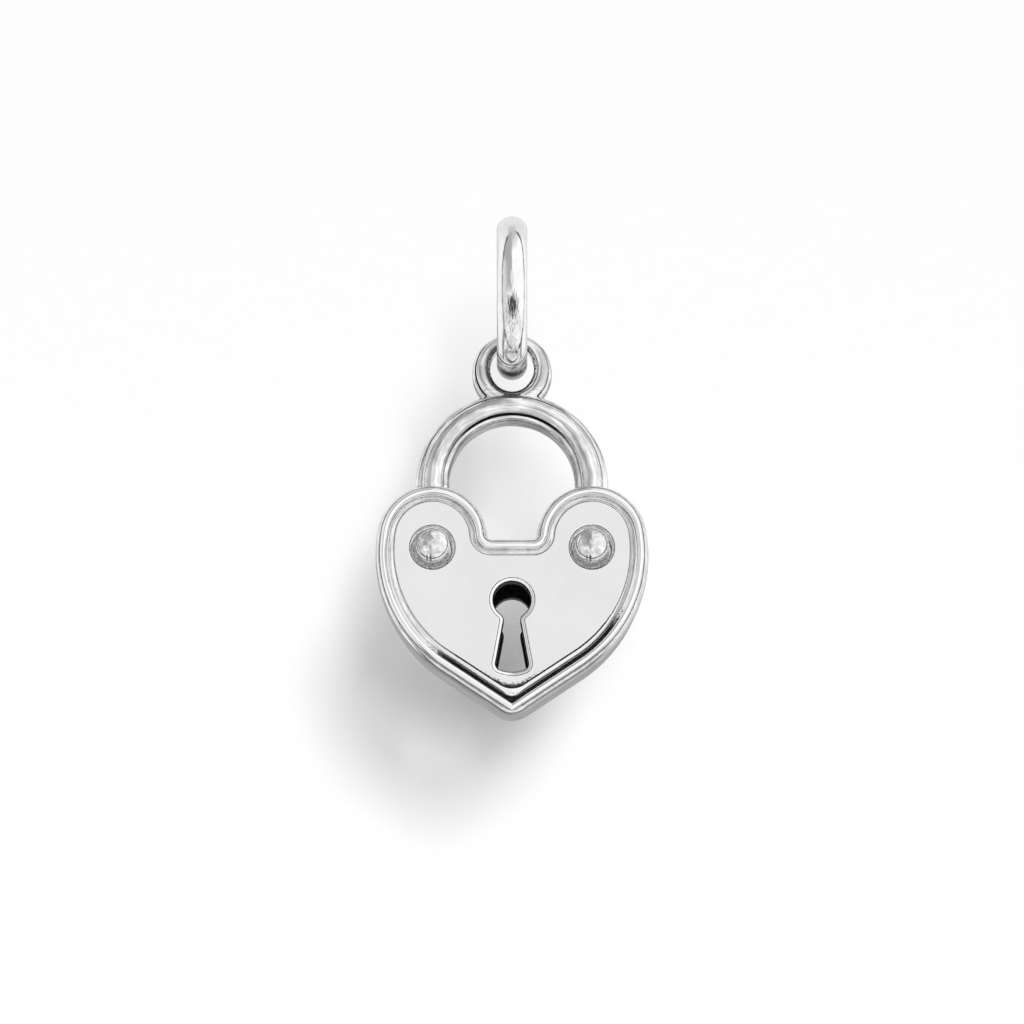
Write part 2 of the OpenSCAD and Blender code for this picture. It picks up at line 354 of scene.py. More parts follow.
def makeShackle():
    section = metalOutline()
    outerR = shackle["legX"] + shackle["legW"] / 2
    innerR = shackle["legX"] - shackle["legW"] / 2
    outerZ = shackle["crownZ"] - outerR
    innerZ = shackle["crownZ"] - shackle["crownW"] - innerR
    depth = shackle["depth"]
    rows = []
    legs = 12
    reach, corner = shackle["grooveReach"], shackle["cornerReflectionLine"]
    legDarkness = grooveDarkness(section, shackle["innerGrooveDark"], reach, corner)
    for i in range(legs):
        z = shackle["legEndZ"] + (outerZ - shackle["legEndZ"]) * i / legs
        rows.append((metalRow((innerR, z), (outerR, z), depth, section), legDarkness))
    arch = 96
    for i in range(arch + 1):
        a = math.pi * i / arch
        inner = (innerR * math.cos(a), innerZ + innerR * math.sin(a))
        outer = (outerR * math.cos(a), outerZ + outerR * math.sin(a))
        # painted shade: the inner groove grows darker and wider towards the crown
        dark = shackle["innerGrooveDark"] + shackle["crownMore"] * math.sin(a)
        wide = reach + shackle["crownReach"] * math.sin(a) ** 3
        grimeAndShade = grooveDarkness(section, dark, wide, corner)
        rows.append((metalRow(inner, outer, depth, section), grimeAndShade))
    for i in reversed(range(legs)):
        z = shackle["legEndZ"] + (outerZ - shackle["legEndZ"]) * i / legs
        rows.append((metalRow((-innerR, z), (-outerR, z), depth, section), legDarkness))
    bow = closeUp(loft("shackle", rows, capped=True))

    rows = []
    around = 96
    holeR, holeH, eyeR = shackle["holeR"], shackle["holeH"], shackle["eyeOuterR"]
    for i in range(around + 1):
        a = 2 * math.pi * i / around
        inner = (holeR * math.cos(a), shackle["holeZ"] + holeH / 2 * math.sin(a))
        outer = (eyeR * math.cos(a), shackle["eyeZ"] + eyeR * math.sin(a))
        below = 0.5 + 0.5 * softStep(0.2, 0.8, -math.sin(a))  # painted shade, darkest under the hole
        grimeAndShade = grooveDarkness(section, shackle["eyeGrooveDark"], reach, below)
        rows.append((metalRow(inner, outer, shackle["eyeDepth"], section), grimeAndShade))
    eye = closeUp(loft("eye", rows, joined=True))
    fuse(bow, eye, "UNION")
    return closeUp(handWork(bow, shackle["grain"], shackle["unevenness"]), shackle["crease"])


# Case: the heart's wall with a bead round each face

case = {
    "wallBulge": 0.24,
    "wallTipR": 1.2,
    "frontTipR": 0.12,
    "backTipR": 1.0,
    "ledgeW": 0.35,
    "grooveTop": 0.03,  # the groove inside each bead, from its top to where the ledge turns dark
    "grooveFoot": 0.26,
    "grain": 1.4,
    "unevenness": 0.012,
    "crease": 40,  # degrees
}


def beadRows(inset, tipR, side):
    # half an ellipse from the bead's outer foot over its crest to its inner foot
    steps = 18
    rows = []
    for i in range(steps + 1):
        part = i / steps
        a = math.pi * i / steps
        y = charm["footY"] + (charm["crestY"] - charm["footY"]) * math.sin(a)
        grow = -inset - charm["beadW"] / 2 * (1 - math.cos(a))
        # both feet are dark with patina and painted shade; wear polishes the crest
        inside = softStep(0.86, 1, part)
        outside = 0.75 * (1 - softStep(0, 0.1, part))
        worn = softStep(0.1, 0.3, part) * (1 - softStep(0.7, 0.9, part))
        grimeAndShade = (max(0.25 * inside, outside) - worn, max(inside, outside) - worn)
        rows.append((atDepth(heartOutline(grow, tipR), side * y), grimeAndShade))
    return rows


def makeCase():
    inset = charm["backInset"]
    frontTip, backTip = case["frontTipR"], case["backTipR"]
    ledgeIn = -charm["beadW"] - case["ledgeW"]
    ledgeY, footY = charm["ledgeY"], charm["footY"]
    grooveFront = heartOutline(-charm["beadW"], frontTip)
    grooveBack = heartOutline(-inset - charm["beadW"], backTip)
    # the ledges and the inside of the case are black: patina and painted shade
    rows = [
        (atDepth(heartOutline(ledgeIn, frontTip), -ledgeY), 1),
        (atDepth(grooveFront, -ledgeY), 1),
        (atDepth(grooveFront, -footY + case["grooveFoot"]), (0.1, 1)),
        (atDepth(grooveFront, -footY + case["grooveTop"]), (0, 1)),
    ]
    rows += reversed(beadRows(0, frontTip, -1))
    walls = 26
    for i in range(1, walls):
        part = -math.cos(math.pi * i / walls)
        swell = case["wallBulge"] * math.sqrt(1 - part**4) * (1 - part / 4)
        grow = swell - inset * (1 + part) / 2
        edge = 0.5 * (1 - softStep(0, 0.03, 1 - abs(part)))
        rows.append((atDepth(heartOutline(grow, case["wallTipR"]), part * footY), edge))
    rows += beadRows(inset, backTip, 1)
    rows += [
        (atDepth(grooveBack, footY - case["grooveTop"]), (0, 1)),
        (atDepth(grooveBack, footY - case["grooveFoot"]), (0.1, 1)),
        (atDepth(grooveBack, ledgeY), 1),
        (atDepth(heartOutline(ledgeIn - inset, backTip), ledgeY), 1),
        rows[0],
    ]
    piece = closeUp(loft("case", rows, joined=True))
    # sockets for the legs, from the lobes' middles upwards
    section = metalOutline()
    wide = shackle["legW"] / 2 + charm["gap"]
    deep = shackle["depth"] / 2 + charm["gap"]
    for side in (-1, 1):
        hole = [(side * shackle["legX"] + u * wide, v * deep) for u, v in section]
        ends = (charm["lobeTopZ"] - heart["lobeR"], charm["lobeTopZ"] + 1)
        rows = [([(x, y, z) for x, y in hole], 1) for z in ends]
        fuse(piece, closeUp(loft("socket", rows, capped=True)), "DIFFERENCE")
    return closeUp(handWork(piece, case["grain"], case["unevenness"]), case["crease"])


# Face plates: a flange under a raised face with a bevel, the keyhole and two cups

plate = {
    "thickness": 0.55,
    "flange": 0.3,  # how far the flange lies behind the face
    "bevelW": 0.22,
    "bevelD": 0.18,
    "faceTipR": 0.7,
    "faceLift": 0.17,
    "innerTipR": 1.05,
    "fringeW": 1.2,
    "lineW": 0.07,  # fine groove where the bevel meets the face
    "lineD": 0.03,
    "cupR": 1.11,
    "cupD": 0.28,
    # from a cup's rim to its middle: radius more or less than cupR, depth, darkness above and below
    "cupWall": [
        (0.09, 0, 0, 0),
        (0.02, 0, 0, 0),
        (0.004, 0.004, 0.85, 1),
        (-0.008, 0.01, 0.85, 1),
        (-0.024, 0.02, 0, 0),
        (-0.07, 0.052, 0, 0.22),
        (-0.13, 0.096, 0, 0.3),
        (-0.2, 0.147, 0.05, 0.35),
        (-0.29, 0.212, 0.1, 0.37),
    ],
    # on its floor: radius, darkness above and below
    "cupFloor": [(0.71, 0.1, 0.37), (0.6, 0.1, 0.37), (0.3, 0.2, 0.37), (0.002, 0.3, 0.37)],
    "crease": 30,  # degrees
}

keyhole = {
    "headR": 0.9,
    "z": -18.065,
    "drop": 3.58,
    "waist": (0.445, -1.33),
    "flare": 10.4,  # degrees
    "waistR": 0.4,
    "footR": 0.3,
    "archR": 1.6,
    "bevel": 0.17,
    "lipTurn": 75,  # degrees that the rounded lip turns through
    "lipDepth": 0.8,  # its depth as a part of the bevel's width
    "lipSteps": 8,
    "cleanSteps": 4,  # the rest of the lip carries painted shade
    "lipShade": 0.9,
}


def keyholeOutline(grow):
    flare = math.radians(keyhole["flare"])
    out = Vector((math.cos(flare), math.sin(flare)))
    down = Vector((math.sin(flare), -math.cos(flare)))
    headR, waistR = keyhole["headR"], keyhole["waistR"]
    footR, archR = keyhole["footR"], keyhole["archR"]
    waist = Vector(keyhole["waist"])
    arch = Vector((0, archR - keyhole["drop"]))

    def slide(start, reach):
        # down the slope from start, to the place at that distance from the middle
        along = -start.dot(down)
        return start + down * (along + math.sqrt(along**2 - start.dot(start) + reach**2))

    waistMid = slide(waist + waistR * out, headR + waistR)
    footMid = arch + slide(waist - footR * out - arch, archR - footR)
    waistTurn = math.degrees(math.atan2(waistMid.y, waistMid.x))
    footTurn = math.degrees(math.atan2(footMid.y - arch.y, footMid.x))
    half = arc(0, 0, headR + grow, 90, waistTurn, 30, 0)
    waistEnd = keyhole["flare"] + 180
    half += arc(waistMid.x, waistMid.y, waistR - grow, waistTurn + 180, waistEnd, 10)
    foot = arc(footMid.x, footMid.y, footR + grow, keyhole["flare"], footTurn, 12, 0)
    half += straight(half[-1], foot[0], 10) + foot
    half += arc(0, arch.y, archR + grow, footTurn, -90, 6)
    return [(x, z + keyhole["z"]) for x, z in bothSides(half)]


def circleRow(x, z, r, y, count=72):
    turns = [2 * math.pi * i / count for i in range(count)]
    return [(x + r * math.cos(a), y, z + r * math.sin(a)) for a in turns]


def fillAt(piece, y):
    # fills the flat between all the open loops at one depth, leaving the holes open
    bpy.ops.object.mode_set(mode="EDIT")
    bpy.ops.mesh.select_mode(type="EDGE")
    bpy.ops.mesh.select_all(action="DESELECT")
    shape = bmesh.from_edit_mesh(piece.data)
    for edge in shape.edges:
        if edge.is_boundary and all(abs(v.co.y - y * mm) < 0.001 * mm for v in edge.verts):
            edge.select_set(True)
    bmesh.update_edit_mesh(piece.data)
    bpy.ops.mesh.fill(use_beauty=True)
    bpy.ops.object.mode_set(mode="OBJECT")


def makePlate(name, side, inset, tipR):
    # built for the front and mirrored through side; inset and tipR fit it to its bead
    edge = -inset - charm["beadW"] - charm["gap"]
    faceEdge = edge - charm["gap"]
    faceY = charm["faceY"]
    backY = faceY - plate["thickness"]
    flangeY = faceY - plate["flange"]
    bevelFoot = faceY - plate["bevelD"]
    bevelTop = faceEdge - plate["bevelW"]
    line, lineY, inner = plate["lineW"], faceY - plate["lineD"], plate["innerTipR"]
    lineEnd = bevelTop - line

    def outline(grow, tipR=plate["faceTipR"]):
        return heartOutline(grow, tipR, plate["faceLift"])

    def fringe(grow, level):
        # ragged tarnish that creeps onto the face at the very tip
        values = []
        for x, z in outline(grow, inner):
            near = math.exp(-((x / plate["fringeW"]) ** 2)) * softStep(-20, -21, z)
            values.append(level * near)
        return values

    # the plate's edge and inner face are black: patina and painted shade
    steps = [
        (heartOutline(edge, tipR), backY, 1),
        (heartOutline(edge, tipR), flangeY - 0.06, 1),
        (heartOutline(edge + charm["gap"], tipR), flangeY - 0.02, (0.3, 1)),
        (heartOutline(edge + 0.01, tipR), flangeY, (0.1, 1)),
        (outline(faceEdge), flangeY, (0.1, 1)),
        (outline(faceEdge), bevelFoot - 0.03, (0.2, 1)),
        (outline(faceEdge - 0.008), bevelFoot, (0.1, 0.6)),
        (outline(faceEdge - 0.03), bevelFoot + 0.025, (0.1, 0.1)),
        (outline(faceEdge - 0.06), faceY - 0.13, (0.1, 0)),
        (outline(faceEdge - 0.085, 0.8), faceY - 0.108, (0.2, 0.35)),
        (outline(faceEdge - 0.1, 0.85), faceY - 0.098, (0.1, 0)),
        (outline(bevelTop + 0.02, inner), faceY - 0.02, (0.1, 0)),
        (outline(bevelTop, inner), faceY - 0.006, (0.15, 0.3)),
        (outline(bevelTop - line * 0.25, inner), lineY, (0.1, 1)),
        (outline(bevelTop - line * 0.5, inner), lineY, (1.3, 1)),
        (outline(bevelTop - line * 0.75, inner), lineY, (0.1, 1)),
        (outline(lineEnd, inner), faceY - 0.003, (0.1, 0.8)),
        (outline(lineEnd - 0.02, inner), faceY, fringe(lineEnd - 0.02, 0.9)),
        (outline(lineEnd - 0.07, inner), faceY, fringe(lineEnd - 0.07, 0.7)),
        (outline(lineEnd - 0.14, inner), faceY, fringe(lineEnd - 0.14, 0.42)),
        (outline(lineEnd - 0.24, inner), faceY, 0),
    ]
    body = loft(name, [(atDepth(shape, -y), grimeAndShade) for shape, y, grimeAndShade in steps])

    # the keyhole: a thin dark line round it, the rounded lip, and the wall behind; the inner lip
    # and wall are painted shade
    lip, count = keyhole["bevel"], keyhole["lipSteps"]
    whole = math.radians(keyhole["lipTurn"])
    steps = [
        (lip + 0.09, faceY, 0),
        (lip + 0.048, faceY, 0),
        (lip + 0.026, faceY - 0.012, 1.2),
        (lip + 0.004, faceY - 0.002, 0),
        (lip, faceY - 0.001, 0),
    ]
    for i in range(1, count + 1):
        a = whole * i / count
        grow = lip * (1 - math.sin(a) / math.sin(whole))
        y = faceY - lip * keyhole["lipDepth"] * (1 - math.cos(a))
        steps.append((grow, y, keyhole["lipShade"] if i > keyhole["cleanSteps"] else 0))
    steps += [
        (0, faceY - lip - 0.015, 0.7),
        (0, faceY - lip - 0.06, 0.95),
        (0, backY, 1),
    ]
    hole = loft("keyhole", [(atDepth(keyholeOutline(grow), -y), grimeAndShade) for grow, y, grimeAndShade in steps])

    steps = [(plate["cupR"] + more, deep, *grimeAndShade) for more, deep, *grimeAndShade in plate["cupWall"]]
    steps += [(r, plate["cupD"], *grimeAndShade) for r, *grimeAndShade in plate["cupFloor"]]
    cups = []
    for sign in (-1, 1):
        x, z = sign * charm["rivetX"], charm["rivetZ"]
        rows = []
        for r, deep, above, below in steps:
            places = circleRow(x, z, r, deep - faceY)
            dirtAndShade = [above + (below - above) * softStep(0.3, -0.7, (p[2] - z) / r) for p in places]
            rows.append((places, dirtAndShade))
        cups.append(loft("cup", rows))
    pick(body, hole, *cups)
    bpy.ops.object.join()
    fillAt(body, -faceY)
    fillAt(body, -backY)
    bpy.ops.object.mode_set(mode="EDIT")
    bpy.ops.mesh.select_all(action="DESELECT")
    bpy.ops.mesh.select_non_manifold(extend=False)
    bpy.ops.mesh.edge_face_add()
    bpy.ops.object.mode_set(mode="OBJECT")
    if side > 0:
        bpy.ops.transform.mirror(constraint_axis=(False, True, False), center_override=(0, 0, 0))
        bpy.ops.object.transform_apply(location=True, rotation=True, scale=True)
    return closeUp(body, plate["crease"])


# Rivets: a shank with a hammered dome at each end

rivet = {
    "ballR": 0.84,
    "ballY": 2.4,  # the widest place
    "domeH": 0.53,
    "footMore": 0.06,  # the foot is rounded to a little below the seat, so it stays open
    "seatY": 1.635,
    "seatGrime": 0.3,
    "shankR": 0.45,
    "shankEnd": 0.6,
    "collar": 0.9,  # part of the radius where a thin dark line runs round the dome
    "collarGrime": 0.85,
    "reflectionStreaks": [(-0.07, 1), (-0.25, 0.8)],  # painted reflections: distance from the middle, how dark
    "reflectionStreakW": 0.06,
    "grain": 0.45,
    "dents": 0.05,
    "crease": 50,  # degrees
}


def makeRivet(name, x):
    ball, ballY, seatY = rivet["ballR"], rivet["ballY"], rivet["seatY"]
    footH = ballY - seatY + rivet["footMore"]
    first = 0.5  # degrees, so the top stays open until it is capped
    lowest = math.degrees(math.acos((seatY + 0.02 - ballY) / footH))
    steps = 48
    half = []
    for i in range(steps + 1):
        a = math.radians(first + (lowest - first) * i / steps)
        rise = rivet["domeH"] if math.cos(a) > 0 else footH
        half.append((ball * math.sin(a), ballY + rise * math.cos(a)))
    half += [(half[-1][0] - 0.03, seatY), (rivet["shankR"], seatY)]
    half += [(rivet["shankR"], rivet["shankEnd"])]
    profile = half + [(r, -y) for r, y in reversed(half)]
    rows = []
    for r, y in profile:
        places = circleRow(x, charm["rivetZ"], r, y, 96)
        if abs(y) > ballY:
            line = softStep(0.03, 0.01, abs(r - rivet["collar"] * ball))
            dark = rivet["collarGrime"] * line
        else:
            dark = rivet["seatGrime"] * softStep(1.72, 1.64, abs(y))
        dirtAndShade = []
        for px, py, pz in places:
            # narrow painted reflection streaks, darker towards the dome's foot
            drop = (pz - charm["rivetZ"]) / ball
            depth = 0.4 * softStep(0.2, -0.15, drop) + 0.45 * softStep(-0.6, -0.85, drop)
            marks = [dark]
            for place, level in rivet["reflectionStreaks"]:
                away = (px - x - place) / rivet["reflectionStreakW"]
                marks.append(depth * level * math.exp(-(away**2)))
            dirtAndShade.append(max(marks))
        rows.append((places, dirtAndShade))
    piece = loft(name, rows, capped=True)
    domes = piece.vertex_groups.new(name="dome")
    for vert in piece.data.vertices:
        domes.add([vert.index], softStep(1.8, 2.2, abs(vert.co.y / mm)), "REPLACE")
    handWork(piece, rivet["grain"], rivet["dents"], "dome")
    return closeUp(piece, rivet["crease"])


# Materials

stretch = {"wall": 9, "arc": 7}  # how many times longer than wide the streaks are

# What all the looks share
sharedLook = {
    "range": (0.32, 0.78),  # of grime and shade, from the first dark to all dark
    "grains": (0.42, 0.62),  # of the speckle, from the tarnish and shade colour to the grain colour
    "worn": (-1.0, 0.0),  # of grime and shade, from polished by wear to streaked
    "gloss": (0.3, 0.7),  # of the clouds, from polish to dull
    "shadeHalf": 0.16,  # half the range from bright to shade
    "rough": 0.35,  # how much rougher the tarnish and painted shade are
    "pitD": 0.05,  # depth of its pits
}

# Settings that many nodes share
plus = {"operation": "ADD"}
times = {"operation": "MULTIPLY"}
timesPlus = {"operation": "MULTIPLY_ADD"}
soft = {"interpolation_type": "SMOOTHSTEP"}
colours = {"data_type": "RGBA"}


def addNode(tree, kind, settings, inputs=()):
    # one node with its settings and inputs, which are in order or by name: each is a value,
    # a socket to link, or a node to link by its first output
    node = tree.nodes.new("ShaderNode" + kind)
    for key, value in settings.items():
        setattr(node, key, value)
    for key, value in inputs.items() if isinstance(inputs, dict) else enumerate(inputs):
        if isinstance(value, bpy.types.Node):
            value = value.outputs[0]
        if isinstance(value, bpy.types.NodeSocket):
            tree.links.new(value, node.inputs[key])
        else:
            node.inputs[key].default_value = value
    return node


def startMaterial(name):
    material = bpy.data.materials.new(name)
    material.use_nodes = True
    tree = material.node_tree
    tree.nodes.clear()
    place = addNode(tree, "TexCoord", {}).outputs["Object"]
    return material, tree, place


def straightWay(tree, place):
    # coordinates for streaks that run round the heart's wall
    inputs = {"Vector": place, "Scale": (1, stretch["wall"], 1)}
    return addNode(tree, "Mapping", {}, inputs)


def archedWay(tree, place, side, deep, middleZ, radius):
    # coordinates for streaks that run along an arc: its radius, its depth and the way along it
    parts = addNode(tree, "SeparateXYZ", {}, [place]).outputs
    up = addNode(tree, "Math", {"operation": "SUBTRACT"}, [parts["Z"], middleZ * mm])
    flat = addNode(tree, "CombineXYZ", {}, [parts[side], up])
    reach = addNode(tree, "VectorMath", {"operation": "LENGTH"}, [flat]).outputs["Value"]
    turn = addNode(tree, "Math", {"operation": "ARCTAN2"}, [up, parts[side]])
    along = addNode(tree, "Math", times, [turn, radius * mm])
    way = addNode(tree, "CombineXYZ", {}, [reach, parts[deep], along])
    inputs = {"Vector": way, "Scale": (stretch["arc"], stretch["arc"], 1)}
    return addNode(tree, "Mapping", {}, inputs)


def bowWay(tree, place):
    # round the bow, and round the eye above the crown
    middle = shackle["crownZ"] - shackle["legX"] - shackle["legW"] / 2
    bow = archedWay(tree, place, "X", "Y", middle, shackle["legX"])
    eye = archedWay(tree, place, "X", "Y", shackle["holeZ"], shackle["holeR"])
    z = addNode(tree, "SeparateXYZ", {}, [place]).outputs["Z"]
    low, high = (shackle["crownZ"] - 0.3) * mm, (shackle["crownZ"] + 0.3) * mm
    above = addNode(tree, "MapRange", {}, [z, low, high])
    return addNode(tree, "Mix", {"data_type": "VECTOR"}, {0: above, 4: bow, 5: eye}).outputs[1]


def wireWay(tree, place):
    midR = (jumpRing["outerD"] - jumpRing["wireD"]) / 2
    return archedWay(tree, place, "Y", "X", jumpRing["middleZ"], midR)


def evenWay(tree, place):
    return place


def silver(name, look, way):
    # Sterling silver: neutral grey reflection, black tarnish and painted shade where the marks lie
    material, tree, place = startMaterial(name)
    along = way(tree, place)
    patterns = []
    for size, detail, where in (
        (look["speckle"], 4.0, along if look["drawn"] else place),
        (look["cloud"], 3.0, place),
        (look["streak"], 5.0, along),
    ):
        inputs = {"Vector": where, "Scale": 1 / (size * mm), "Detail": detail, "Roughness": 0.6}
        patterns.append(addNode(tree, "TexNoise", {}, inputs).outputs["Fac"])
    speckle, cloud, streak = patterns

    # tarnish and painted shade lie where grime and shade are marked, with a ragged edge, and are
    # grainy inside
    grimeAndShade = addNode(tree, "Attribute", {"attribute_name": "grimeAndShade"}).outputs["Fac"]
    loose = addNode(tree, "Math", timesPlus, [speckle, look["ragged"], -0.5 * look["ragged"]])
    dirtAndShade = addNode(tree, "Math", plus, [grimeAndShade, loose])
    tarnishAndShade = addNode(tree, "MapRange", soft, [dirtAndShade, *sharedLook["range"]])
    grains = addNode(tree, "MapRange", soft, [speckle, *sharedLook["grains"]])
    inputs = {0: grains, 6: hexColour(look["tarnishAndShade"]), 7: hexColour(look["grain"])}
    black = addNode(tree, "Mix", colours, inputs).outputs[2]

    # clean metal is clouded and streaked, but not where wear has polished it
    clouds = addNode(tree, "Math", times, [cloud, look["cloudy"]])
    uneven = addNode(tree, "Math", timesPlus, [streak, look["streaky"], clouds])
    middle, half = (look["cloudy"] + look["streaky"]) / 2, sharedLook["shadeHalf"]
    shade = addNode(tree, "MapRange", soft, [uneven, middle - half, middle + half])
    matt = addNode(tree, "MapRange", soft, [grimeAndShade, *sharedLook["worn"]])
    shade = addNode(tree, "Math", times, [shade, matt])
    inputs = {0: shade, 6: hexColour(look["bright"]), 7: hexColour(look["shade"])}
    tone = addNode(tree, "Mix", colours, inputs).outputs[2]

    colour = addNode(tree, "Mix", colours, {0: tarnishAndShade, 6: tone, 7: black}).outputs[2]
    inputs = [cloud, *sharedLook["gloss"], look["polish"], look["dull"]]
    gloss = addNode(tree, "MapRange", soft, inputs)
    rough = addNode(tree, "Math", timesPlus, [tarnishAndShade, sharedLook["rough"], gloss])
    pitted = addNode(tree, "Math", times, [speckle, tarnishAndShade])
    inputs = {"Height": streak, "Distance": look["streakD"] * mm, "Strength": matt}
    relief = addNode(tree, "Bump", {}, inputs)
    for height, depth in ((cloud, look["cloudD"]), (pitted, sharedLook["pitD"])):
        inputs = {"Height": height, "Distance": depth * mm, "Strength": 1.0, "Normal": relief}
        relief = addNode(tree, "Bump", {}, inputs)
    inputs = {"Base Color": colour, "Metallic": 1.0, "Roughness": rough, "Normal": relief}
    shader = addNode(tree, "BsdfPrincipled", {}, inputs)
    addNode(tree, "OutputMaterial", {}, [shader])
    return material


# Sizes of the patterns in mm; cloudy and streaky weigh them in the colour, D is a depth in mm.
# Where drawn is true the speckle follows the streaks; polish and dull are roughness

# Cast sterling, filed and polished: fine streaks round the wall, grey dirt and painted shade in the
# grooves
castLook = {
    "bright": "#FAFAFA",
    "shade": "#D6D6D6",
    "tarnishAndShade": "#3A3A3A",
    "grain": "#969696",
    "speckle": 0.07,
    "drawn": False,
    "ragged": 1.0,
    "cloud": 0.9,
    "cloudy": 0.4,
    "cloudD": 0.008,
    "streak": 0.9,
    "streaky": 0.8,
    "streakD": 0.006,
    "polish": 0.035,
    "dull": 0.07,
}

# Cast sterling of the bow and its eye: long drawn-out reflections, near black grooves
bowLook = {
    "bright": "#F8F8F8",
    "shade": "#C4C4C4",
    "tarnishAndShade": "#181818",
    "grain": "#484848",
    "speckle": 0.08,
    "drawn": False,
    "ragged": 0.5,
    "cloud": 2.0,
    "cloudy": 0.6,
    "cloudD": 0.016,
    "streak": 1.3,
    "streaky": 1.0,
    "streakD": 0.008,
    "polish": 0.04,
    "dull": 0.08,
}

# Rolled sterling sheet, mirror polished: one even tone, black painted shade where it is pierced
flatLook = {
    "bright": "#F8F8F8",
    "shade": "#F5F5F5",
    "tarnishAndShade": "#1C1C1C",
    "grain": "#4A4A4A",
    "speckle": 0.06,
    "drawn": False,
    "ragged": 1.7,
    "cloud": 2.5,
    "cloudy": 1.0,
    "cloudD": 0.001,
    "streak": 0.3,
    "streaky": 0.2,
    "streakD": 0.0004,
    "polish": 0.03,
    "dull": 0.05,
}

# Sterling hammered to a dome: small soft dents that break up the reflection
domeLook = {
    "bright": "#F4F4F4",
    "shade": "#CCCCCC",
    "tarnishAndShade": "#141414",
    "grain": "#303030",
    "speckle": 0.06,
    "drawn": False,
    "ragged": 1.2,
    "cloud": 0.35,
    "cloudy": 1.0,
    "cloudD": 0.018,
    "streak": 0.12,
    "streaky": 0.4,
    "streakD": 0.004,
    "polish": 0.03,
    "dull": 0.05,
}

# Drawn sterling wire: clear long reflections, speckled round the soldered seam
wireLook = {
    "bright": "#FAFAFA",
    "shade": "#EAEAEA",
    "tarnishAndShade": "#0E0E0E",
    "grain": "#2C2C2C",
    "speckle": 0.24,
    "drawn": True,
    "ragged": 1.6,
    "cloud": 1.2,
    "cloudy": 0.6,
    "cloudD": 0.006,
    "streak": 0.7,
    "streaky": 0.6,
    "streakD": 0.004,
    "polish": 0.025,
    "dull": 0.05,
}


def finish(piece, material, body, node):
    pick(piece)
    piece.data.materials.clear()
    piece.data.materials.append(material)
    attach(piece, body)
    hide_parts(node)


castSilver = silver("castSterlingPolished", castLook, straightWay)
bowSilver = silver("castSterlingBow", bowLook, bowWay)
flatSilver = silver("rolledSterlingMirror", flatLook, evenWay)
domeSilver = silver("hammeredSterling", domeLook, evenWay)
wireSilver = silver("drawnSterlingWire", wireLook, wireWay)

finish(makeJumpRing(), wireSilver, "ring", "jump_ring")
print("jump ring made")
finish(makeShackle(), bowSilver, "lock", "shackle")
print("shackle made")
finish(makeCase(), castSilver, "lock", "case")
print("case made")
frontPlate = makePlate("frontPlate", -1, 0, case["frontTipR"])
finish(frontPlate, flatSilver, "lock", "front_plate")
backPlate = makePlate("backPlate", 1, charm["backInset"], case["backTipR"])
finish(backPlate, flatSilver, "lock", "back_plate")
print("plates made")
rivetLeft = makeRivet("rivetLeft", -charm["rivetX"])
finish(rivetLeft, domeSilver, "lock", "rivet_left")
rivetRight = makeRivet("rivetRight", charm["rivetX"])
finish(rivetRight, domeSilver, "lock", "rivet_right")
print("rivets made")

# Studio: a pale paper sweep far behind and below, and a soft room all round

studio = {
    "wallY": 650,
    "floorZ": -650,
    "halfWidth": 1500,
    "front": -1500,
    "top": 1200,
    "bend": 240,
    "paper": "#A4A4A4",
    "fibre": 1.5,  # coarser than real, so that it shows
    "fibreD": 0.02,
}


def makeSweep():
    pick()
    width = studio["halfWidth"] * mm
    bpy.ops.mesh.primitive_plane_add(size=1, location=(0, 0, 0))
    sweep = bpy.context.object
    sweep.name = sweep.data.name = "paperSweep"
    bpy.ops.object.mode_set(mode="EDIT")
    shape = bmesh.from_edit_mesh(sweep.data)
    for vert in shape.verts:
        y = studio["wallY"] if vert.co.y > 0 else studio["front"]
        vert.co = (math.copysign(width, vert.co.x), y * mm, studio["floorZ"] * mm)
    bpy.ops.mesh.select_all(action="DESELECT")
    bpy.ops.mesh.select_mode(type="EDGE")
    backY = studio["wallY"] * mm
    for edge in shape.edges:
        edge.select_set(all(abs(v.co.y - backY) < mm for v in edge.verts))
    rise = (studio["top"] - studio["floorZ"]) * mm
    bpy.ops.mesh.extrude_edges_move(TRANSFORM_OT_translate={"value": (0, 0, rise)})
    shape = bmesh.from_edit_mesh(sweep.data)
    for edge in shape.edges:
        edge.select_set(all(abs(v.co.y - backY) < mm and v.co.z < 0 for v in edge.verts))
    bpy.ops.mesh.bevel(offset=studio["bend"] * mm, segments=24, affect="EDGES")
    bpy.ops.object.mode_set(mode="OBJECT")
    bpy.ops.object.shade_smooth()
    material, tree, place = startMaterial("mattePaper")
    inputs = {"Vector": place, "Scale": 1 / (studio["fibre"] * mm), "Detail": 3.0}
    fibre = addNode(tree, "TexNoise", {}, inputs).outputs["Fac"]
    inputs = {"Height": fibre, "Distance": studio["fibreD"] * mm}
    bump = addNode(tree, "Bump", {}, inputs)
    inputs = {"Color": hexColour(studio["paper"]), "Normal": bump}
    shader = addNode(tree, "BsdfDiffuse", {}, inputs)
    addNode(tree, "OutputMaterial", {}, [shader])
    sweep.data.materials.append(material)
    sweep.visible_glossy = False


makeSweep()

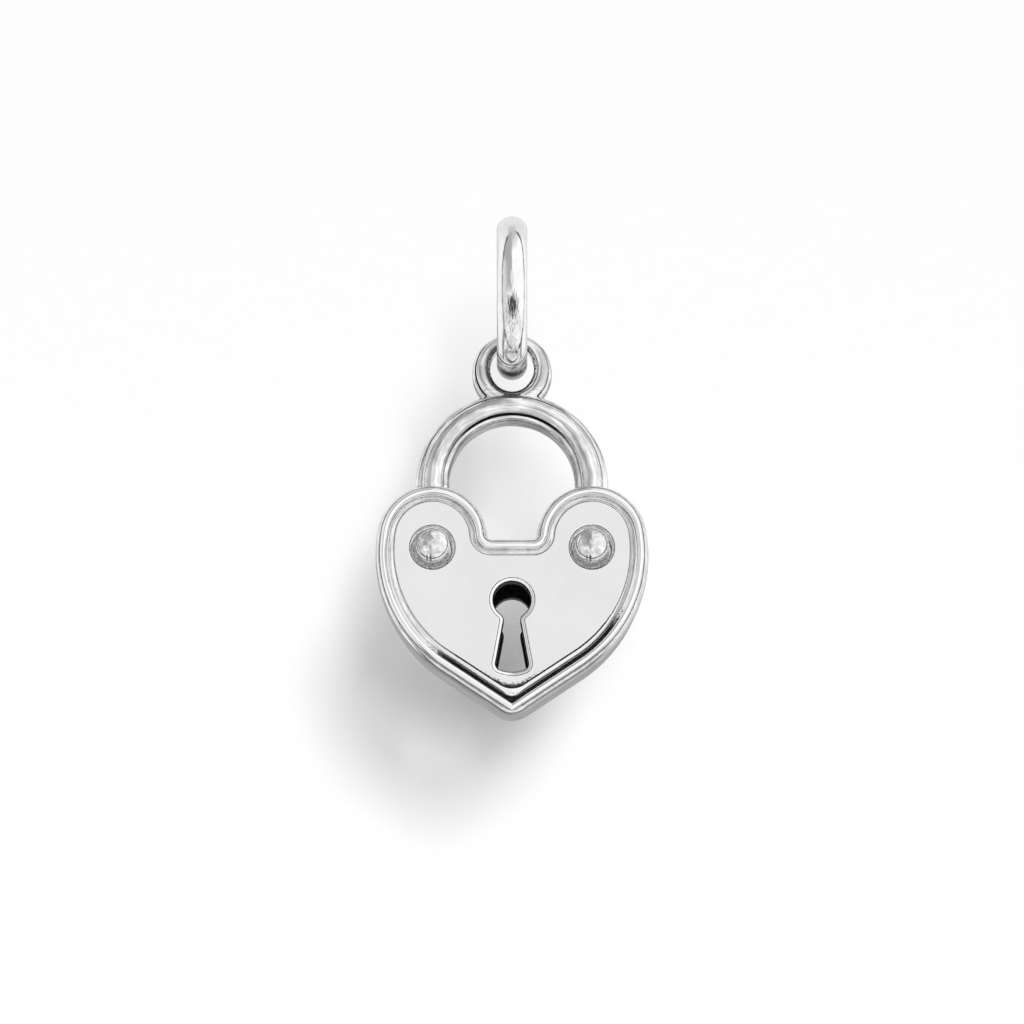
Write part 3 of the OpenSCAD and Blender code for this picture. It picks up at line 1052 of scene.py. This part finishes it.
# Brightness by height, 0 straight down and 1 straight up, for each quarter of the room
room = {
    "seen": 0.97,  # what the camera sees where the paper ends
    "frontLeft": [
        (0.0, 0.76), (0.03, 0.84), (0.06, 1.02), (0.12, 1.0), (0.25, 0.85), (0.35, 1.08),
        (0.44, 1.02), (0.5, 0.52), (0.8, 0.46), (1.0, 0.46),
    ],
    "frontRight": [
        (0.0, 0.8), (0.03, 0.88), (0.06, 1.06), (0.12, 1.04), (0.25, 0.92), (0.35, 1.1),
        (0.9, 1.1), (0.97, 0.8), (1.0, 0.6),
    ],
    "backLeft": [
        (0.0, 0.8), (0.06, 0.98), (0.15, 0.95), (0.2, 0.2), (0.25, 0.14), (0.33, 0.3),
        (0.42, 0.38), (0.58, 0.46), (0.64, 0.68), (0.72, 0.84), (0.95, 0.84), (1.0, 0.55),
    ],
    "backRight": [
        (0.0, 0.84), (0.06, 1.04), (0.15, 1.0), (0.2, 0.3), (0.25, 0.22), (0.33, 0.45),
        (0.42, 0.6), (0.58, 0.74), (0.66, 0.86), (0.95, 0.84), (1.0, 0.6),
    ],
    "frontSoft": 0.05,  # half the width of the change from left to right
    "backSoft": 0.14,
    "seam": 0.12,  # dark line where the front walls meet the back one
    "seamY": 0.05,
    "seamLean": 0.23,
    "seamHalf": 0.03,
    "seamSoft": 0.08,
    "seamTop": (0.98, 0.9),
    "side": 1.02,  # white screens at both sides, a little behind
    "sideX": (0.58, 0.72),
    "sideZ": (-0.6, -0.4),
    "farLeft": 0.78,  # the front left wall is lighter at its far end
    "farX": (-0.5, -0.8),
    "farZ": (0.75, 0.45),
    "card": 0.87,  # white card that the flat faces mirror, its place and size in degrees
    "cardTurn": 14.5,
    "cardReach": 9,
    "cardSoft": 4,
    "sight": 0.4,  # dark place behind the charm that its round edges mirror, the same way
    "sightTurn": 2.5,
    "sightReach": 13,
    "sightSoft": 6,
    "brightest": 1.2,
}


def makeRoom():
    world = bpy.data.worlds.new("softRoom")
    scene.world = world
    world.use_nodes = True
    tree = world.node_tree
    tree.nodes.clear()

    way = addNode(tree, "TexCoord", {}).outputs["Generated"]
    parts = addNode(tree, "SeparateXYZ", {}, [way]).outputs
    height = addNode(tree, "MapRange", {}, [parts["Z"], -1.0, 1.0])

    halves = {}
    for half in ("front", "back"):
        quarters = []
        for stops in (room[half + "Left"], room[half + "Right"]):
            shades = addNode(tree, "ValToRGB", {}, [height])
            shades.color_ramp.interpolation = "EASE"
            while len(shades.color_ramp.elements) < len(stops):
                shades.color_ramp.elements.new(0.5)
            for element, (place, level) in zip(shades.color_ramp.elements, stops):
                element.position = place
                element.color = [level / room["brightest"]] * 3 + [1]
            quarters.append(addNode(tree, "Math", times, [shades, room["brightest"]]))
        width = room[half + "Soft"]
        across = addNode(tree, "MapRange", soft, [parts["X"], -width, width])
        halves[half] = addNode(tree, "Mix", {}, {0: across, 2: quarters[0], 3: quarters[1]})
    front, back = halves["front"], halves["back"]

    # two round places in the middle, each so many degrees up from the front
    discs = {}
    for name, turn in (("card", room["cardTurn"]), ("sight", 180 - room["sightTurn"])):
        aim = (0, -math.cos(math.radians(turn)), math.sin(math.radians(turn)))
        near = addNode(tree, "VectorMath", {"operation": "DOT_PRODUCT"}, [way, aim])
        outer = math.cos(math.radians(room[name + "Reach"] + room[name + "Soft"]))
        inner = math.cos(math.radians(room[name + "Reach"]))
        discs[name] = addNode(tree, "MapRange", soft, [near.outputs["Value"], outer, inner])

    farX = addNode(tree, "MapRange", soft, [parts["X"], *room["farX"]])
    farZ = addNode(tree, "MapRange", soft, [parts["Z"], *room["farZ"]])
    far = addNode(tree, "Math", times, [farX, farZ])
    front = addNode(tree, "Mix", {}, {0: far, 2: front, 3: room["farLeft"]})
    front = addNode(tree, "Mix", {}, {0: discs["card"], 2: front, 3: room["card"]})

    aside = addNode(tree, "Math", {"operation": "ABSOLUTE"}, [parts["X"]])
    sideX = addNode(tree, "MapRange", soft, [aside, *room["sideX"]])
    sideZ = addNode(tree, "MapRange", soft, [parts["Z"], *room["sideZ"]])
    sides = addNode(tree, "Math", times, [sideX, sideZ])
    back = addNode(tree, "Mix", {}, {0: sides, 2: back, 3: room["side"]})
    back = addNode(tree, "Mix", {}, {0: discs["sight"], 2: back, 3: room["sight"]})

    lean = addNode(tree, "Math", timesPlus, [parts["X"], -room["seamLean"], parts["Y"]])
    middle, thick, fade = room["seamY"], room["seamHalf"], room["seamSoft"]
    behind = addNode(tree, "MapRange", soft, [lean, middle - thick, middle + thick])
    whole = addNode(tree, "Mix", {}, {0: behind, 2: front, 3: back})
    before = addNode(tree, "MapRange", soft, [lean, middle - fade, middle - thick])
    after = addNode(tree, "MapRange", soft, [lean, middle + fade, middle + thick])
    top = addNode(tree, "MapRange", soft, [parts["Z"], *room["seamTop"]])
    seam = addNode(tree, "Math", times, [before, after])
    seam = addNode(tree, "Math", times, [seam, top])
    whole = addNode(tree, "Mix", {}, {0: seam, 2: whole, 3: room["seam"]})

    lit = addNode(tree, "Background", {}, {"Color": whole, "Strength": 1.0})
    paper = [room["seen"]] * 3 + [1]
    seen = addNode(tree, "Background", {}, {"Color": paper, "Strength": 1.0})
    eye = addNode(tree, "LightPath", {}).outputs["Is Camera Ray"]
    both = addNode(tree, "MixShader", {}, [eye, lit, seen])
    addNode(tree, "OutputWorld", {}, [both])


makeRoom()
print("studio made")

# Camera: a long lens a little below the charm, looking up at it

view = {
    "pitch": 14.5,  # degrees
    "distance": 800,
    "aimZ": -13.225,  # what lies in the middle of the picture
    "frameH": 49.56,  # height of the picture at the charm
    "sensor": 36,
}


def makeCamera():
    pick()
    tilt = math.radians(view["pitch"])
    y = -view["distance"] * math.cos(tilt)
    z = view["aimZ"] - view["distance"] * math.sin(tilt)
    bpy.ops.object.camera_add(location=(0, y * mm, z * mm), rotation=(math.pi / 2 + tilt, 0, 0))
    camera = bpy.context.object
    camera.data.sensor_width = view["sensor"]
    camera.data.lens = view["sensor"] * view["distance"] / view["frameH"]
    camera.data.clip_start = 0.01
    camera.data.clip_end = 10
    scene.camera = camera
    return camera


camera = makeCamera()

# Two small lamps stand behind the lens, a little right and above, so the charm's soft shadow
# falls on the paper to its lower left. They light the paper only: the silver mirrors the room

lamps = {
    "away": 1249,  # from the aim, along the line of sight
    "low": {"right": 4.97, "up": 8.81, "radius": 8.0, "power": 37.6},
    "high": {"right": 12.19, "up": 22.5, "radius": 6.5, "power": 31.6},
}


def makeLamp(name):
    one = lamps[name]
    pick()
    bpy.ops.object.light_add(type="AREA", location=(0, 0, 0))
    light = bpy.context.object
    light.name = name + "Lamp"
    light.data.shape = "DISK"
    light.data.size = 2 * one["radius"] * mm
    light.data.energy = one["power"]
    turn = camera.matrix_world.to_quaternion()
    back = lamps["away"] - view["distance"]
    light.location = camera.location + turn @ (Vector((one["right"], one["up"], back)) * mm)
    light.rotation_euler = camera.rotation_euler
    light.visible_camera = False
    light.visible_glossy = False


bpy.context.view_layer.update()
makeLamp("low")
makeLamp("high")
